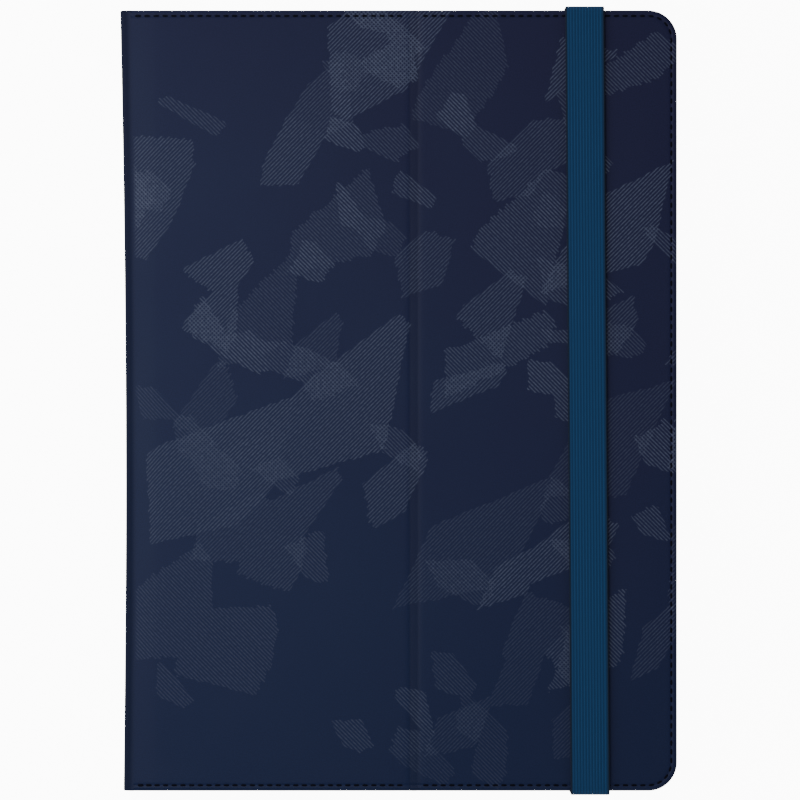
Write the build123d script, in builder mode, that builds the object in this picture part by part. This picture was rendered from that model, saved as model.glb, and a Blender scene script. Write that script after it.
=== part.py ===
"""Tablet keyboard folio case, closed and lying on its back.

+X runs from the spine to the free edge, +Y up the cover, +Z out of the front cover.
The origin is the middle of the base's underside. Millimetres.

Three soft panels make the folio: the base carries the keyboard, the inner cover carries the
tablet tray, and the leg is the outer half of the cover, which folds back at the crease as a
stand. An elastic band sewn to the base's edges goes round the closed case.
"""

from build123d import *
import os

# Whole case
case_width = 192.0
case_height = 270.0
case_thickness = 25.0
free_x = case_width / 2
spine_x = -case_width / 2
half_height = case_height / 2
free_corner_radius = 10.0

# A panel is an outer skin folded round a stiff board, closed by a lining
skin = 0.8
board = 1.6
lining = 0.6
panel = skin + board + lining
rim = 1.0
cover_bottom = case_thickness - panel
lining_top = cover_bottom + lining
board_top = lining_top + board

# Living hinges: the spine's two corners and the crease in the cover
hinge_radius = 3.6
hinge_strip = 1.2
hinge_gap = 0.3
panel_start_x = spine_x + hinge_radius
spine_low = hinge_radius + hinge_gap
spine_high = case_thickness - spine_low
crease_x = 5.0
crease_half_gap = 2.2
crease_z = case_thickness - 0.6
crease_strip_thickness = 1.0
crease_strip_overhang = 1.2
inner_end_x = crease_x - crease_half_gap
leg_start_x = crease_x + crease_half_gap

# Magnets in the leg and the tray that hold the leg shut
magnet_radius = 5.0
magnet_thickness = 1.2
magnet_clearance = 0.05
magnet_points = [(x, y) for x in (30.0, 62.0) for y in (-100.0, 100.0)]

# Elastic closing band
band_x = 65.0
band_width = 13.5
band_thickness = 1.0
band_low_z = case_thickness + 0.3
band_high_z = band_low_z + band_thickness
band_inner_y = half_height + 0.4
band_outer_y = band_inner_y + band_thickness
band_end_z = 1.5
band_tab_thickness = 0.8
band_tab_length = 9.0
band_tab_clearance = 0.2

# Keyboard housing
deck_rear_x = -72.0
deck_front_x = 72.6
deck_half_width = 127.0
deck_corner_radius = 4.0
deck_edge_radius = 0.8
deck_floor = 1.0
deck_wall = 1.2
deck_plate = 1.2
deck_split_z = 6.0
deck_top_z = 8.6
deck_floor_z = panel + deck_floor
deck_ceiling_z = deck_top_z - deck_plate

# Keys
key_unit = 17.0
key_gap = 2.4
key_clearance = 0.25
key_corner = 1.2
key_bottom_z = 7.0
key_top_z = 9.6
key_draft = 8.0
key_field_rear_x = -61.0
function_row_depth = 11.0
row_units = 14.5
KEY_ROWS = {
    "function_keys": [row_units / 14] * 14,
    "number_keys": [1.0] * 13 + [1.5],
    "upper_letter_keys": [1.5] + [1.0] * 13,
    "home_letter_keys": [1.75] + [1.0] * 11 + [1.75],
    "lower_letter_keys": [2.25] + [1.0] * 11 + [1.25],
}
BOTTOM_ROW = [
    ("modifier_keys", 1.25),
    ("modifier_keys", 1.0),
    ("modifier_keys", 1.25),
    ("modifier_keys", 1.25),
    ("space_bar", 5.0),
    ("modifier_keys", 1.25),
    ("modifier_keys", 1.25),
    ("modifier_keys", 1.0),
    ("modifier_keys", 1.25),
]
key_field_front_x = key_field_rear_x + function_row_depth + len(KEY_ROWS) * key_unit

# Housing screws and the posts that take them
screw_inset = 4.5
screw_points = [(deck_rear_x + screw_inset, y) for y in (-118.0, 0.0, 118.0)]
screw_points += [(deck_front_x - screw_inset, y) for y in (-118.0, -38.0, 38.0, 118.0)]
screw_post_radius = 2.2
screw_radius = 0.8
screw_head_radius = 1.6
screw_length = 2.8
screw_hole_depth = 3.0
screw_clearance = 0.05

# Circuit board and the rubber domes under the keys
circuit_thickness = 0.8
circuit_top_z = deck_floor_z + circuit_thickness
circuit_half_width = row_units * key_unit / 2
dome_sheet = 0.2
dome_sheet_inset = 4.0
dome_radius = 3.0
dome_margin = 1.0
dome_draft = 25.0
dome_clearance = 0.1

# Battery and controller, under the palm rest
battery_centre = (54.0, -74.0)
battery_size = (28.0, 60.0)
battery_thickness = 3.0
battery_edge_radius = 1.0
controller_x = 53.0
controller_width = 22.0
controller_rear_y = 44.0
controller_gap = 0.2
processor_centre = (51.0, 56.0)
processor_size = (8.0, 8.0)
processor_thickness = 1.0
radio_centre = (53.0, 81.0)
radio_size = (12.0, 18.0)
radio_thickness = 1.4

# Charging socket at the end of the controller board
socket_x = 50.0
socket_width = 8.0
socket_height = 2.5
socket_length = 5.2
socket_wall = 0.4
socket_clearance = 0.1
socket_shell_back = 1.0
tongue_width = 5.2
tongue_thickness = 0.5
tongue_low = 1.0
tongue_inset = 1.2

# Touchpad
touchpad_x = (key_field_front_x + deck_front_x - 1.0) / 2
touchpad_depth = 26.0
touchpad_width = 62.0
touchpad_corner = 1.8
touchpad_low_z = 7.6
touchpad_high_z = 8.8
foam_width = 3.0
foam_length = 56.0
foam_rear_inset = 2.0
foam_front_inset = 3.6

# Power switch, pairing button and indicator lights, on a board of their own
control_x = deck_rear_x + 5.4
control_board_width = 6.8
control_board_y = (56.0, 111.0)
switch_y = 104.0
switch_slot = (3.0, 9.0)
switch_slot_corner = 0.6
switch_body = (3.6, 10.0)
switch_body_top_z = 6.7
switch_knob_width = 2.6
switch_knob_length = 4.5
switch_end_gap = 0.3
switch_knob_root = 0.4
switch_knob_rise = 0.5
pairing_y = 88.0
pairing_radius = 2.2
pairing_body = (4.4, 4.4)
pairing_body_top_z = 6.1
pairing_root = 0.3
pairing_rise = 0.5
indicator_points = [(control_x, y) for y in (60.0, 66.0, 72.0)]
indicator_radius = 0.8
lamp_size = (1.6, 1.0)
lamp_thickness = 0.6
lens_clearance = 0.05

# Rubber bumpers that keep the tray off the keys
bumper_rear_inset = 4.0
bumper_front_inset = 3.6
bumper_side_inset = 4.5
bumper_radius = 2.0
bumper_height = 1.4
bumper_draft = 15.0

# Tablet tray: a shallow shell and its back plate, bonded to the inner cover
tray_rear_x = -84.2
tray_front_x = 75.4
tray_half_width = 122.0
tray_corner_radius = 6.0
tray_low = 18.2
tray_floor = 1.0
tray_back = 0.8
bond_rear_inset = 6.0
bond_front_inset = 3.0
bond_side_inset = 8.0
grip_x = -5.0
grip_y = 100.0
grip_length = 110.0
grip_width = 10.0
grip_thickness = 0.4

# Sprung jaw that slides in the tray
slider_gap = 0.3
slider_thickness = 1.0
slider_low = tray_low + tray_floor + slider_gap
slider_high = slider_low + slider_thickness
tray_split_z = slider_high + slider_gap
tray_high = tray_split_z + tray_back
jaw_face_x = 76.0
jaw_travel = 14.0
jaw_end_gap = 0.6
jaw_side_gap = 0.3
arm_width = 22.0
bar_x = 24.0
bar_width = 12.0
bar_rear_x = bar_x - bar_width / 2
bar_front_x = bar_x + bar_width / 2
bar_gap = 0.4
tension_y = 20.0
tension_width = 5.0
tension_channel_width = 7.0
tension_anchor_x = -58.0
tension_thickness = 0.8
channel_overlap = 0.2

# Hooks that hold the tablet: two fixed, two on the jaw
tablet_thickness = 8.2
hook_y = 70.0
hook_width = 26.0
hook_wall = 2.0
hook_pad = 0.8
hook_pad_inset = 1.0
hook_pad_gap = 0.2
hook_lip = 2.6
hook_lip_thickness = 1.4
hook_edge_radius = 0.5
hook_lip_z = tray_low - tablet_thickness
hook_tip_z = hook_lip_z - hook_lip_thickness
fixed_face_x = tray_rear_x - 0.2


def save(part, name):
    part.label = name
    export_step(part, f"parts/{name}.step")


def about(middle, width):
    """The range of that width round a middle value."""
    return middle - width / 2, middle + width / 2


def block(x, y, z, mode=Mode.ADD):
    """A box over three ranges, made in the part that is being built."""
    ranges = (x, y, z)
    middle = tuple((start + end) / 2 for start, end in ranges)
    with Locations(middle):
        Box(*(abs(end - start) for start, end in ranges), mode=mode)


def chip(centre, size, z):
    """A block of that size round a point of the XY plane."""
    block(about(centre[0], size[0]), about(centre[1], size[1]), z)


def plate(x, half_width, z, free_radius=0, spine_radius=0, mode=Mode.ADD):
    """A flat sheet whose corners may be round on the free side and on the spine side."""
    with BuildSketch(Plane.XY.offset(z[0])) as outline:
        with Locations(((x[0] + x[1]) / 2, 0)):
            Rectangle(x[1] - x[0], 2 * half_width)
        if free_radius:
            fillet(outline.vertices().group_by(Axis.X)[-1], free_radius)
        if spine_radius:
            fillet(outline.vertices().group_by(Axis.X)[0], spine_radius)
    extrude(outline.sketch, amount=z[1] - z[0], mode=mode)


def pocket(x, z, free_radius=0, mode=Mode.ADD):
    """The room inside a panel's turned edges: a board, a lining or the hollow itself."""
    inner_radius = free_radius - rim if free_radius else 0
    plate((x[0] + rim, x[1] - rim), half_height - rim, z, inner_radius, mode=mode)


def deck_plate_between(z, inset=0.0, mode=Mode.ADD):
    """The keyboard housing's outline, or its hollow when it is inset by the wall."""
    radius = deck_corner_radius - inset
    x = (deck_rear_x + inset, deck_front_x - inset)
    plate(x, deck_half_width - inset, z, radius, radius, mode=mode)


def discs(points, radius, z, mode=Mode.ADD):
    """A round post or hole at each point."""
    with BuildSketch(Plane.XY.offset(z[0])) as circles:
        with Locations(*points):
            Circle(radius)
    extrude(circles.sketch, amount=z[1] - z[0], mode=mode)


def corner_strip(centre_z, start_angle):
    """A quarter of a tube along Y: the bare skin and lining at a corner of the spine."""
    centre = Vector(panel_start_x, centre_z)
    with BuildSketch(Plane.XZ.offset(-half_height)) as section:
        with BuildLine():
            CenterArc(centre, hinge_radius, start_angle, 90)
            CenterArc(centre, hinge_radius - hinge_strip, start_angle, 90)
            for angle in (start_angle, start_angle + 90):
                along = Vector(1, 0).rotate(Axis.Z, angle)
                near = centre + along * (hinge_radius - hinge_strip)
                Line(near, near + along * hinge_strip)
        make_face()
    extrude(section.sketch, amount=case_height)


def hook(inner_x, direction, top_z, y):
    """A wall with a lip that reaches over the tablet's edge.

    direction is +1 if the wall stands on the +X side of the tablet.
    """
    wall_x = inner_x + direction * hook_pad
    far_x = wall_x + direction * hook_wall
    lip_x = inner_x - direction * hook_lip
    with BuildSketch(Plane.XZ.offset(-y - hook_width / 2)) as section:
        with BuildLine():
            Polyline(
                (wall_x, top_z),
                (far_x, top_z),
                (far_x, hook_tip_z),
                (lip_x, hook_tip_z),
                (lip_x, hook_lip_z),
                (wall_x, hook_lip_z),
                close=True,
            )
        make_face()
        fillet(section.vertices().group_by(Axis.Y)[0], hook_edge_radius)
    extrude(section.sketch, amount=hook_width)


def hook_lining(inner_x, direction, y):
    """The soft pad on a hook's wall, between the lip and the tray."""
    x = (inner_x, inner_x + direction * hook_pad)
    block(x, about(y, hook_width - 2 * hook_pad_inset), (hook_lip_z, tray_low - hook_pad_gap))


def all_keys():
    """Every key as (node, middle x, middle y, depth, width), from the typist's left."""
    rows = [[(node, units) for units in row] for node, row in KEY_ROWS.items()]
    rear_x = key_field_rear_x
    found = []
    for row in rows + [BOTTOM_ROW]:
        row_depth = function_row_depth if rear_x == key_field_rear_x else key_unit
        y = -row_units * key_unit / 2
        for node, units in row:
            width = units * key_unit
            middle = (rear_x + row_depth / 2, y + width / 2)
            found.append((node, *middle, row_depth - key_gap, width - key_gap))
            y += width
        rear_x += row_depth
    return found


KEYS = all_keys()
os.makedirs("parts", exist_ok=True)

# Base panel: skin, board and lining under the keyboard

base_x = (panel_start_x, free_x)
band_across = about(band_x, band_width)
tab_z = about(band_end_z, band_tab_thickness)

with BuildPart() as base_skin:
    plate(base_x, half_height, (0, panel), free_corner_radius)
    pocket(base_x, (skin, panel), free_corner_radius, mode=Mode.SUBTRACT)
    for side in (-1, 1):
        block(band_across, (side * (half_height - rim), side * half_height), tab_z, mode=Mode.SUBTRACT)
save(base_skin.part, "base_skin")

with BuildPart() as base_board:
    pocket(base_x, (skin, skin + board), free_corner_radius)
    for side in (-1, 1):
        slot_y = (side * (half_height - rim - band_tab_length), side * half_height)
        block(band_across, slot_y, (tab_z[0], skin + board), mode=Mode.SUBTRACT)
save(base_board.part, "base_board")

with BuildPart() as base_lining:
    pocket(base_x, (skin + board, panel), free_corner_radius)
save(base_lining.part, "base_lining")

# The two ends of the band, let in between the board and the skin
with BuildPart() as band_anchor_tabs:
    for side in (-1, 1):
        inner_y = half_height - rim - band_tab_length + band_tab_clearance
        block(band_across, (side * inner_y, side * half_height), tab_z)
save(band_anchor_tabs.part, "band_anchor_tabs")

with BuildPart() as base_hinge_skin:
    corner_strip(hinge_radius, 180)
save(base_hinge_skin.part, "base_hinge_skin")

# Spine: a narrow panel that stands on edge when the case is shut

spine_inner_y = (-half_height + rim, half_height - rim)
spine_inner_z = (spine_low + rim, spine_high - rim)

with BuildPart() as spine_skin:
    block((spine_x, spine_x + panel), (-half_height, half_height), (spine_low, spine_high))
    block((spine_x + skin, spine_x + panel), spine_inner_y, spine_inner_z, mode=Mode.SUBTRACT)
save(spine_skin.part, "spine_skin")

with BuildPart() as spine_board:
    block((spine_x + skin, spine_x + skin + board), spine_inner_y, spine_inner_z)
save(spine_board.part, "spine_board")

with BuildPart() as spine_lining:
    block((spine_x + skin + board, spine_x + panel), spine_inner_y, spine_inner_z)
save(spine_lining.part, "spine_lining")

# Inner cover: the half of the front cover between the spine and the crease

cover_x = (panel_start_x, inner_end_x)

with BuildPart() as cover_skin:
    plate(cover_x, half_height, (cover_bottom, case_thickness))
    pocket(cover_x, (cover_bottom, board_top), mode=Mode.SUBTRACT)
save(cover_skin.part, "cover_skin")

with BuildPart() as cover_board:
    pocket(cover_x, (lining_top, board_top))
save(cover_board.part, "cover_board")

with BuildPart() as cover_lining:
    pocket(cover_x, (cover_bottom, lining_top))
save(cover_lining.part, "cover_lining")

with BuildPart() as cover_hinge_skin:
    corner_strip(case_thickness - hinge_radius, 90)
save(cover_hinge_skin.part, "cover_hinge_skin")

with BuildPart() as crease_strip:
    block(
        (inner_end_x, crease_x + crease_strip_overhang),
        (-half_height, half_height),
        about(crease_z, crease_strip_thickness),
    )
save(crease_strip.part, "crease_strip")

# Leg: the outer half of the front cover, with the magnets that hold it to the tray

leg_x = (leg_start_x, free_x)
leg_magnet_z = (lining_top, lining_top + magnet_thickness)

with BuildPart() as leg_skin:
    plate(leg_x, half_height, (cover_bottom, case_thickness), free_corner_radius)
    pocket(leg_x, (cover_bottom, board_top), free_corner_radius, mode=Mode.SUBTRACT)
save(leg_skin.part, "leg_skin")

with BuildPart() as leg_board:
    pocket(leg_x, (lining_top, board_top), free_corner_radius)
    discs(magnet_points, magnet_radius, leg_magnet_z, mode=Mode.SUBTRACT)
save(leg_board.part, "leg_board")

with BuildPart() as leg_lining:
    pocket(leg_x, (cover_bottom, lining_top), free_corner_radius)
save(leg_lining.part, "leg_lining")

with BuildPart() as leg_magnets:
    discs(magnet_points, magnet_radius, leg_magnet_z)
save(leg_magnets.part, "leg_magnets")

# Elastic band: over the cover and down both edges to the anchor tabs

with BuildPart() as elastic_band:
    with BuildSketch(Plane.YZ.offset(band_x - band_width / 2)):
        with BuildLine():
            Polyline(
                (-band_outer_y, band_end_z),
                (-band_outer_y, band_high_z),
                (band_outer_y, band_high_z),
                (band_outer_y, band_end_z),
                (band_inner_y, band_end_z),
                (band_inner_y, band_low_z),
                (-band_inner_y, band_low_z),
                (-band_inner_y, band_end_z),
                close=True,
            )
        make_face()
    extrude(amount=band_width)
save(elastic_band.part, "elastic_band")

# Keyboard housing: two shells that meet round the edge, screwed together from below

socket_across = about(socket_x, socket_width)
wall_y = (deck_half_width - deck_wall, deck_half_width)
socket_top_z = circuit_top_z + socket_height

with BuildPart() as keyboard_bottom:
    deck_plate_between((panel, deck_split_z))
    deck_plate_between((deck_floor_z, deck_split_z), deck_wall, mode=Mode.SUBTRACT)
    discs(screw_points, screw_head_radius, (panel, deck_floor_z), mode=Mode.SUBTRACT)
    block(socket_across, wall_y, (circuit_top_z, deck_split_z), mode=Mode.SUBTRACT)
save(keyboard_bottom.part, "keyboard_bottom")

with BuildPart() as keyboard_top:
    deck_plate_between((deck_split_z, deck_top_z))
    deck_plate_between((deck_split_z, deck_ceiling_z), deck_wall, mode=Mode.SUBTRACT)
    fillet(keyboard_top.faces().sort_by(Axis.Z)[-1].edges(), deck_edge_radius)
    with BuildSketch(Plane.XY.offset(deck_ceiling_z)):
        for _, x, y, depth, width in KEYS:
            with Locations((x, y)):
                RectangleRounded(
                    depth + 2 * key_clearance, width + 2 * key_clearance, key_corner + key_clearance
                )
        with Locations((touchpad_x, 0)):
            RectangleRounded(
                touchpad_depth + 2 * key_clearance,
                touchpad_width + 2 * key_clearance,
                touchpad_corner + key_clearance,
            )
        with Locations((control_x, switch_y)):
            RectangleRounded(*switch_slot, switch_slot_corner)
        with Locations((control_x, pairing_y)):
            Circle(pairing_radius + key_clearance)
        with Locations(*indicator_points):
            Circle(indicator_radius)
    extrude(amount=deck_plate, mode=Mode.SUBTRACT)
    discs(screw_points, screw_post_radius, (deck_floor_z, deck_ceiling_z))
    hole_z = (deck_floor_z, deck_floor_z + screw_hole_depth)
    discs(screw_points, screw_radius, hole_z, mode=Mode.SUBTRACT)
    block(socket_across, wall_y, (deck_split_z, socket_top_z), mode=Mode.SUBTRACT)
save(keyboard_top.part, "keyboard_top")

with BuildPart() as housing_screws:
    discs(screw_points, screw_head_radius - 2 * screw_clearance, (panel, deck_floor_z))
    discs(screw_points, screw_radius - screw_clearance, (deck_floor_z, deck_floor_z + screw_length))
save(housing_screws.part, "housing_screws")

with BuildPart() as screen_bumpers:
    with BuildSketch(Plane.XY.offset(deck_top_z)):
        for x in (deck_rear_x + bumper_rear_inset, deck_front_x - bumper_front_inset):
            for side in (-1, 1):
                with Locations((x, side * (deck_half_width - bumper_side_inset))):
                    Circle(bumper_radius)
    extrude(amount=bumper_height, taper=bumper_draft)
save(screen_bumpers.part, "screen_bumpers")

# Inside the housing

circuit_x = (key_field_rear_x, key_field_front_x)
sheet_half_width = circuit_half_width - dome_sheet_inset
sheet_top_z = circuit_top_z + dome_sheet

with BuildPart() as circuit_board:
    block(circuit_x, (-circuit_half_width, circuit_half_width), (deck_floor_z, circuit_top_z))
save(circuit_board.part, "circuit_board")

with BuildPart() as rubber_dome_sheet:
    block(circuit_x, (-sheet_half_width, sheet_half_width), (circuit_top_z, sheet_top_z))
    with BuildSketch(Plane.XY.offset(sheet_top_z)):
        for _, x, y, depth, _ in KEYS:
            with Locations((x, y)):
                Circle(min(dome_radius, depth / 2 - dome_margin))
    extrude(amount=key_bottom_z - dome_clearance - sheet_top_z, taper=dome_draft)
save(rubber_dome_sheet.part, "rubber_dome_sheet")

with BuildPart() as battery_cell:
    chip(battery_centre, battery_size, (deck_floor_z, deck_floor_z + battery_thickness))
    fillet(battery_cell.edges().filter_by(Axis.Y), battery_edge_radius)
save(battery_cell.part, "battery_cell")

with BuildPart() as controller_board:
    block(
        about(controller_x, controller_width),
        (controller_rear_y, wall_y[0] - controller_gap),
        (deck_floor_z, circuit_top_z),
    )
    chip(processor_centre, processor_size, (circuit_top_z, circuit_top_z + processor_thickness))
    chip(radio_centre, radio_size, (circuit_top_z, circuit_top_z + radio_thickness))
save(controller_board.part, "controller_board")

with BuildPart() as control_board:
    block(about(control_x, control_board_width), control_board_y, (deck_floor_z, circuit_top_z))
    chip((control_x, switch_y), switch_body, (circuit_top_z, switch_body_top_z))
    chip((control_x, pairing_y), pairing_body, (circuit_top_z, pairing_body_top_z))
    for point in indicator_points:
        chip(point, lamp_size, (circuit_top_z, circuit_top_z + lamp_thickness))
save(control_board.part, "control_board")

with BuildPart() as charging_socket:
    shell_width = socket_width - 2 * socket_clearance
    shell_z = (circuit_top_z, socket_top_z - socket_clearance)
    socket_rear_y = wall_y[0] - socket_length
    hollow_rear_y = socket_rear_y + socket_shell_back
    block(about(socket_x, shell_width), (socket_rear_y, deck_half_width), shell_z)
    block(
        about(socket_x, shell_width - 2 * socket_wall),
        (hollow_rear_y, deck_half_width),
        (shell_z[0] + socket_wall, shell_z[1] - socket_wall),
        mode=Mode.SUBTRACT,
    )
    tongue_z = (circuit_top_z + tongue_low, circuit_top_z + tongue_low + tongue_thickness)
    block(about(socket_x, tongue_width), (hollow_rear_y, deck_half_width - tongue_inset), tongue_z)
save(charging_socket.part, "charging_socket")

with BuildPart() as indicator_lenses:
    discs(indicator_points, indicator_radius - lens_clearance, (deck_ceiling_z, deck_top_z))
save(indicator_lenses.part, "indicator_lenses")

# Keys: a row of caps is one node, and each cap its own solid

for node in [*KEY_ROWS, "modifier_keys", "space_bar"]:
    with BuildPart() as caps:
        with BuildSketch(Plane.XY.offset(key_bottom_z)):
            for name, x, y, depth, width in KEYS:
                if name == node:
                    with Locations((x, y)):
                        RectangleRounded(depth, width, key_corner)
        extrude(amount=key_top_z - key_bottom_z, taper=key_draft)
    save(caps.part, node)

# Touchpad, power switch and pairing button

with BuildPart() as touchpad:
    with BuildSketch(Plane.XY.offset(touchpad_low_z)):
        with Locations((touchpad_x, 0)):
            RectangleRounded(touchpad_depth, touchpad_width, touchpad_corner)
    extrude(amount=touchpad_high_z - touchpad_low_z)
save(touchpad.part, "touchpad")

with BuildPart() as touchpad_foam:
    foam_rear_x = touchpad_x - touchpad_depth / 2 + foam_rear_inset
    foam_front_x = touchpad_x + touchpad_depth / 2 - foam_front_inset
    for x in (foam_rear_x, foam_front_x):
        chip((x, 0), (foam_width, foam_length), (deck_floor_z, touchpad_low_z))
save(touchpad_foam.part, "touchpad_foam")

with BuildPart() as power_switch:
    knob_rear_y = switch_y - switch_slot[1] / 2 + switch_end_gap
    block(
        about(control_x, switch_knob_width),
        (knob_rear_y, knob_rear_y + switch_knob_length),
        (deck_ceiling_z - switch_knob_root, deck_top_z + switch_knob_rise),
    )
save(power_switch.part, "power_switch")

with BuildPart() as pairing_button:
    cap_z = (deck_ceiling_z - pairing_root, deck_top_z + pairing_rise)
    discs([(control_x, pairing_y)], pairing_radius, cap_z)
save(pairing_button.part, "pairing_button")

# Tablet tray

tray_x = (tray_rear_x, tray_front_x)
channel_z = (tray_low + tray_floor, tray_split_z)
tray_magnet_z = (tray_split_z - magnet_thickness, tray_split_z)

with BuildPart() as tray_shell:
    plate(tray_x, tray_half_width, (tray_low, tray_split_z), tray_corner_radius, tray_corner_radius)
    # channels for the jaw's two arms, its cross bar and the two tension bands
    for side in (-1, 1):
        arm_y = about(side * hook_y, arm_width + 2 * jaw_side_gap)
        block((bar_rear_x - bar_gap, tray_front_x), arm_y, channel_z, mode=Mode.SUBTRACT)
        tension_x = (tension_anchor_x, bar_rear_x + channel_overlap)
        tension_range = about(side * tension_y, tension_channel_width)
        block(tension_x, tension_range, channel_z, mode=Mode.SUBTRACT)
    bar_channel_x = (bar_rear_x - bar_gap, bar_front_x + jaw_travel + jaw_end_gap)
    block(bar_channel_x, (-hook_y, hook_y), channel_z, mode=Mode.SUBTRACT)
    discs(magnet_points, magnet_radius + magnet_clearance, tray_magnet_z, mode=Mode.SUBTRACT)
save(tray_shell.part, "tray_shell")

with BuildPart() as tray_back_plate:
    plate(tray_x, tray_half_width, (tray_split_z, tray_high), tray_corner_radius, tray_corner_radius)
save(tray_back_plate.part, "tray_back_plate")

with BuildPart() as tray_magnets:
    discs(magnet_points, magnet_radius, tray_magnet_z)
save(tray_magnets.part, "tray_magnets")

with BuildPart() as tray_bond:
    block(
        (tray_rear_x + bond_rear_inset, inner_end_x - bond_front_inset),
        (-tray_half_width + bond_side_inset, tray_half_width - bond_side_inset),
        (tray_high, cover_bottom),
    )
save(tray_bond.part, "tray_bond")

with BuildPart() as grip_strips:
    for side in (-1, 1):
        chip((grip_x, side * grip_y), (grip_length, grip_width), (tray_low - grip_thickness, tray_low))
save(grip_strips.part, "grip_strips")

with BuildPart() as fixed_hooks:
    for side in (-1, 1):
        hook(fixed_face_x, -1, tray_split_z, side * hook_y)
        foot_x = (fixed_face_x - hook_pad, tray_rear_x)
        block(foot_x, about(side * hook_y, hook_width), (tray_low, tray_split_z))
save(fixed_hooks.part, "fixed_hooks")

with BuildPart() as fixed_hook_pads:
    for side in (-1, 1):
        hook_lining(fixed_face_x, -1, side * hook_y)
save(fixed_hook_pads.part, "fixed_hook_pads")

# Sprung jaw: an H-shaped slider in the tray, with two hooks on the free side

slider_z = (slider_low, slider_high)

with BuildPart() as jaw_slider:
    block((bar_rear_x, bar_front_x), (-hook_y, hook_y), slider_z)
    for side in (-1, 1):
        block((bar_rear_x, jaw_face_x + hook_pad), about(side * hook_y, arm_width), slider_z)
save(jaw_slider.part, "jaw_slider")

with BuildPart() as jaw_hooks:
    for side in (-1, 1):
        hook(jaw_face_x, 1, slider_high, side * hook_y)
save(jaw_hooks.part, "jaw_hooks")

with BuildPart() as jaw_hook_pads:
    for side in (-1, 1):
        hook_lining(jaw_face_x, 1, side * hook_y)
save(jaw_hook_pads.part, "jaw_hook_pads")

with BuildPart() as jaw_tension_bands:
    for side in (-1, 1):
        tension_z = (slider_low, slider_low + tension_thickness)
        block((tension_anchor_x, bar_rear_x), about(side * tension_y, tension_width), tension_z)
save(jaw_tension_bands.part, "jaw_tension_bands")
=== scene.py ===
import math

import bmesh
import bpy
import numpy as np
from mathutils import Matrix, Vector


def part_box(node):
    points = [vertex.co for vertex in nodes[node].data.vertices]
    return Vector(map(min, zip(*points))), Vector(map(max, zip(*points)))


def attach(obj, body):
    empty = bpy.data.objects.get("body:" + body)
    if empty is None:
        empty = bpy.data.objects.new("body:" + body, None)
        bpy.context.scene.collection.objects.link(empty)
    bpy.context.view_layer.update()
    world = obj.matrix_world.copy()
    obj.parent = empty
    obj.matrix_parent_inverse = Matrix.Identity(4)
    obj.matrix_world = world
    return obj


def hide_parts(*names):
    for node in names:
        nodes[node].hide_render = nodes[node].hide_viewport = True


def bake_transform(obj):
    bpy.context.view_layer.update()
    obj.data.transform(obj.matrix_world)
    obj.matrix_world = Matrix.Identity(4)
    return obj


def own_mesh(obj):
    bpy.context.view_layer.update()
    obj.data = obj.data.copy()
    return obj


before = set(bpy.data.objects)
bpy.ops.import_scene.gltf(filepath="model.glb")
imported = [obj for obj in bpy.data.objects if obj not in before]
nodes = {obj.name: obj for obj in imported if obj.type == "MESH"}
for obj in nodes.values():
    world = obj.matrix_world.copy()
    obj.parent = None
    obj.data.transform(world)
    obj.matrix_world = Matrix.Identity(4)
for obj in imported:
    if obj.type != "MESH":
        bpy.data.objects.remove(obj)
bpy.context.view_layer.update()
MM = 0.001

# Sizes in millimetres, as the CAD frame has them: X to the photo's right, Y up it, Z to the viewer
HALF = 135.0       # half the covers' height
FREE = 96.0        # x of the free edge; the spine's outer face is at -FREE
START = -92.4      # x where the covers end and the spine's corners begin
THICK = 25.0       # from the base's back to the cover's front
PANEL = 3.0        # thickness of each cover
CORNER = 10.0      # radius of the free corners
HINGE = 3.6        # outer radius of the spine's corners
STRIP = 1.2        # thickness of the bare skin there
CREASE = 5.0       # x of the crease

# Details that only the visible skins have
TURNED = 1.2       # radius of a skin's turned edges
SLACK = 0.06       # how far the front skin lies inside the CAD box, for its ripples
BORDER = 7.0       # width of the skin's border round a lining
RECESS = 0.36      # depth of the recess that a lining lies in
LINING = 0.34      # thickness of a lining
STRAIGHT = 0.3     # the flat end of a spine corner's strip, beside the spine's panel
SEAM = 2.0         # distance of the stitches from the edge
PITCH = 3.0        # distance from stitch to stitch
UV_SPAN = 400.0    # width of the whole UV square


# ---------------------------------------------------------------- mesh helpers

def smooth(t):
    """0 below t = 0, 1 above t = 1, and a soft step between."""
    t = np.clip(t, 0, 1)
    return t * t * (3 - 2 * t)


def make(name, verts, faces, material, uv, angle=40):
    """A mesh object from points in millimetres. uv holds one pair of millimetres per vertex."""
    mesh = bpy.data.meshes.new(name)
    mesh.from_pydata([tuple(v) for v in np.asarray(verts, float) * MM], [], faces)
    mesh.polygons.foreach_set("use_smooth", [True] * len(mesh.polygons))
    mesh.set_sharp_from_angle(angle=math.radians(angle))
    layer = mesh.uv_layers.new(name="UVMap")
    corner = np.zeros(len(mesh.loops), int)
    mesh.loops.foreach_get("vertex_index", corner)
    flat = (np.asarray(uv, float) / UV_SPAN + 0.5)[corner]
    layer.data.foreach_set("uv", flat.ravel())
    mesh.materials.append(material)
    mesh.update()
    obj = bpy.data.objects.new(name, mesh)
    bpy.context.scene.collection.objects.link(obj)
    return obj


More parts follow.
